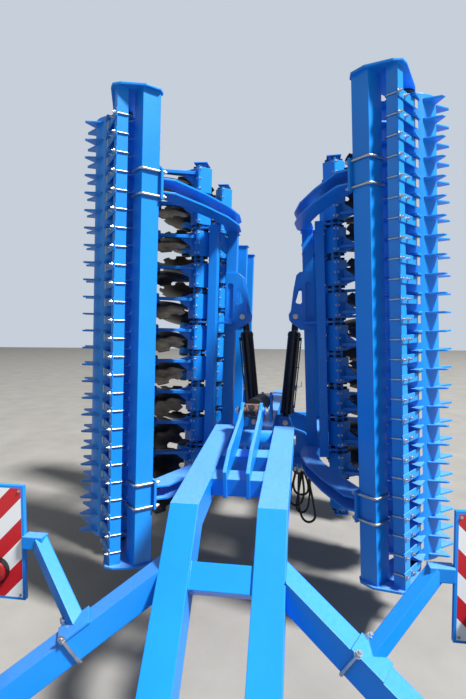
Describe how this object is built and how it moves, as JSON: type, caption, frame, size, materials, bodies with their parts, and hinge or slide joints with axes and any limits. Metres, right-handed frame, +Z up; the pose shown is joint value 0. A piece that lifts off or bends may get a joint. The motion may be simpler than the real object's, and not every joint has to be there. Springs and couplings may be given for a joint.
{
  "type": "trailed folding disc harrow",
  "caption": "Trailed compact disc harrow folded for the road: two upright wings of notched discs with toothed packer rollers, a rear wheel carriage and a drawbar.",
  "frame": {"origin": "on the ground under the middle of the parked machine", "axes": "+Y is the direction of travel, from the wheels to the hitch; +X is the machine's right side; +Z is up"},
  "size_m": [3, 6.8418, 3.7371],
  "materials": {
    "blue_paint": "semi-gloss blue paint",
    "rubber": "matt black rubber",
    "disc_steel": "hardened steel with a dark, dusty film",
    "tyre": "black tyre rubber",
    "rim_paint": "silver paint",
    "black_paint": "satin black paint",
    "rod_steel": "chromed rod",
    "pin_steel": "zinc-plated pin",
    "zinc": "zinc plating",
    "board": "white board with red stripes"
  },
  "bodies": {
    "chassis": {"spine": "blue_paint", "rear_hinge_plates": "blue_paint", "front_hinge_plates": "blue_paint", "hinge_pins": "pin_steel", "pivot_shaft": "pin_steel", "drawbar": "blue_paint", "jack_sleeve": "blue_paint", "hose_carrier": "blue_paint", "hose_loops": "rubber"},
    "carriage": {"carriage_beams": "blue_paint", "carriage_cross": "blue_paint", "carriage_lugs": "blue_paint", "braces": "blue_paint", "axle": "blue_paint", "lamp_arms": "blue_paint", "lamp_boards": "board"},
    "wheel_left": {"tyre_left": "tyre", "rim_left": "rim_paint"},
    "wheel_right": {"tyre_right": "tyre", "rim_right": "rim_paint"},
    "lift_barrel": {"lift_barrel": "black_paint"},
    "lift_rod": {"lift_rod": "rod_steel"},
    "hitch": {"hitch_bar": "blue_paint"},
    "jack": {"jack_leg": "zinc"},
    "wing_left": {"wing_frame_left": "blue_paint", "cylinder_ears_left": "blue_paint", "row_tubes_left": "blue_paint", "rubbers_left": "rubber", "disc_arms_left": "blue_paint", "discs_left": "disc_steel", "roller_frame_left": "blue_paint", "scrapers_left": "blue_paint", "roller_arms_left": "blue_paint"},
    "roller_left": {"roller_left": "blue_paint"},
    "fold_barrel_left": {"fold_barrel_left": "black_paint"},
    "fold_rod_left": {"fold_rod_left": "rod_steel"},
    "wing_right": {"wing_frame_right": "blue_paint", "cylinder_ears_right": "blue_paint", "row_tubes_right": "blue_paint", "rubbers_right": "rubber", "disc_arms_right": "blue_paint", "discs_right": "disc_steel", "roller_frame_right": "blue_paint", "scrapers_right": "blue_paint", "roller_arms_right": "blue_paint"},
    "roller_right": {"roller_right": "blue_paint"},
    "fold_barrel_right": {"fold_barrel_right": "black_paint"},
    "fold_rod_right": {"fold_rod_right": "rod_steel"}
  },
  "joints": [
    {"name": "carriage_swing", "type": "hinge", "parent": "chassis", "child": "carriage", "pos_m": [0, -1.294, 1.325], "axis": [-1, 0, 0], "range_deg": [0, 30]},
    {"name": "wheel_spin_left", "type": "hinge", "parent": "carriage", "child": "wheel_left", "pos_m": [-1.3, -2.984, 0.437], "axis": [1, 0, 0], "continuous": true},
    {"name": "wheel_spin_right", "type": "hinge", "parent": "carriage", "child": "wheel_right", "pos_m": [1.3, -2.984, 0.437], "axis": [1, 0, 0], "continuous": true},
    {"name": "lift_cylinder", "type": "hinge", "parent": "carriage", "child": "lift_barrel", "pos_m": [0, -1.414, 1.545], "axis": [1, 0, 0], "range_deg": [0, 28.11]},
    {"name": "lift_stroke", "type": "slide", "parent": "lift_barrel", "child": "lift_rod", "axis": [0, 0.997, -0.0776], "range_m": [-0.1246, 0]},
    {"name": "hitch_swivel", "type": "hinge", "parent": "chassis", "child": "hitch", "pos_m": [0, 3.366, 0.64], "axis": [0, 0, 1], "range_deg": [-60, 60]},
    {"name": "jack_slide", "type": "slide", "parent": "chassis", "child": "jack", "axis": [0, 0, 1], "range_m": [0, 0.25]},
    {"name": "fold_left", "type": "hinge", "parent": "chassis", "child": "wing_left", "pos_m": [-0.6, 0.191, 0.97], "axis": [0, -1, 0], "range_deg": [0, 91.8]},
    {"name": "roller_spin_left", "type": "hinge", "parent": "wing_left", "child": "roller_left", "pos_m": [-1.09476, -1.094, 0.98555], "axis": [0.0314, 0, 0.9995], "continuous": true},
    {"name": "fold_cylinder_left", "type": "hinge", "parent": "chassis", "child": "fold_barrel_left", "pos_m": [-0.156, 0.191, 1.15], "axis": [0, -1, 0], "range_deg": [0, 80.56]},
    {"name": "fold_stroke_left", "type": "slide", "parent": "fold_barrel_left", "child": "fold_rod_left", "axis": [-0.0943, 0, 0.9955], "range_m": [0, 0.6361]},
    {"name": "fold_right", "type": "hinge", "parent": "chassis", "child": "wing_right", "pos_m": [0.6, 0.191, 0.97], "axis": [0, 1, 0], "range_deg": [0, 91.8]},
    {"name": "roller_spin_right", "type": "hinge", "parent": "wing_right", "child": "roller_right", "pos_m": [1.09476, -1.094, 0.98555], "axis": [-0.0314, 0, 0.9995], "continuous": true},
    {"name": "fold_cylinder_right", "type": "hinge", "parent": "chassis", "child": "fold_barrel_right", "pos_m": [0.156, 0.191, 1.15], "axis": [0, 1, 0], "range_deg": [0, 80.56]},
    {"name": "fold_stroke_right", "type": "slide", "parent": "fold_barrel_right", "child": "fold_rod_right", "axis": [0.0943, 0, 0.9955], "range_m": [0, 0.6361]}
  ],
  "couplings": [
    {"joint": "lift_cylinder", "follows": "carriage_swing", "ratio": 0.93022},
    {"joint": "lift_stroke", "follows": "carriage_swing", "m_per_rad": -0.23413},
    {"joint": "fold_cylinder_left", "follows": "fold_left", "ratio": 0.87537},
    {"joint": "fold_stroke_left", "follows": "fold_left", "m_per_rad": 0.39576},
    {"joint": "fold_cylinder_right", "follows": "fold_right", "ratio": 0.87537},
    {"joint": "fold_stroke_right", "follows": "fold_right", "m_per_rad": 0.39576}
  ]
}
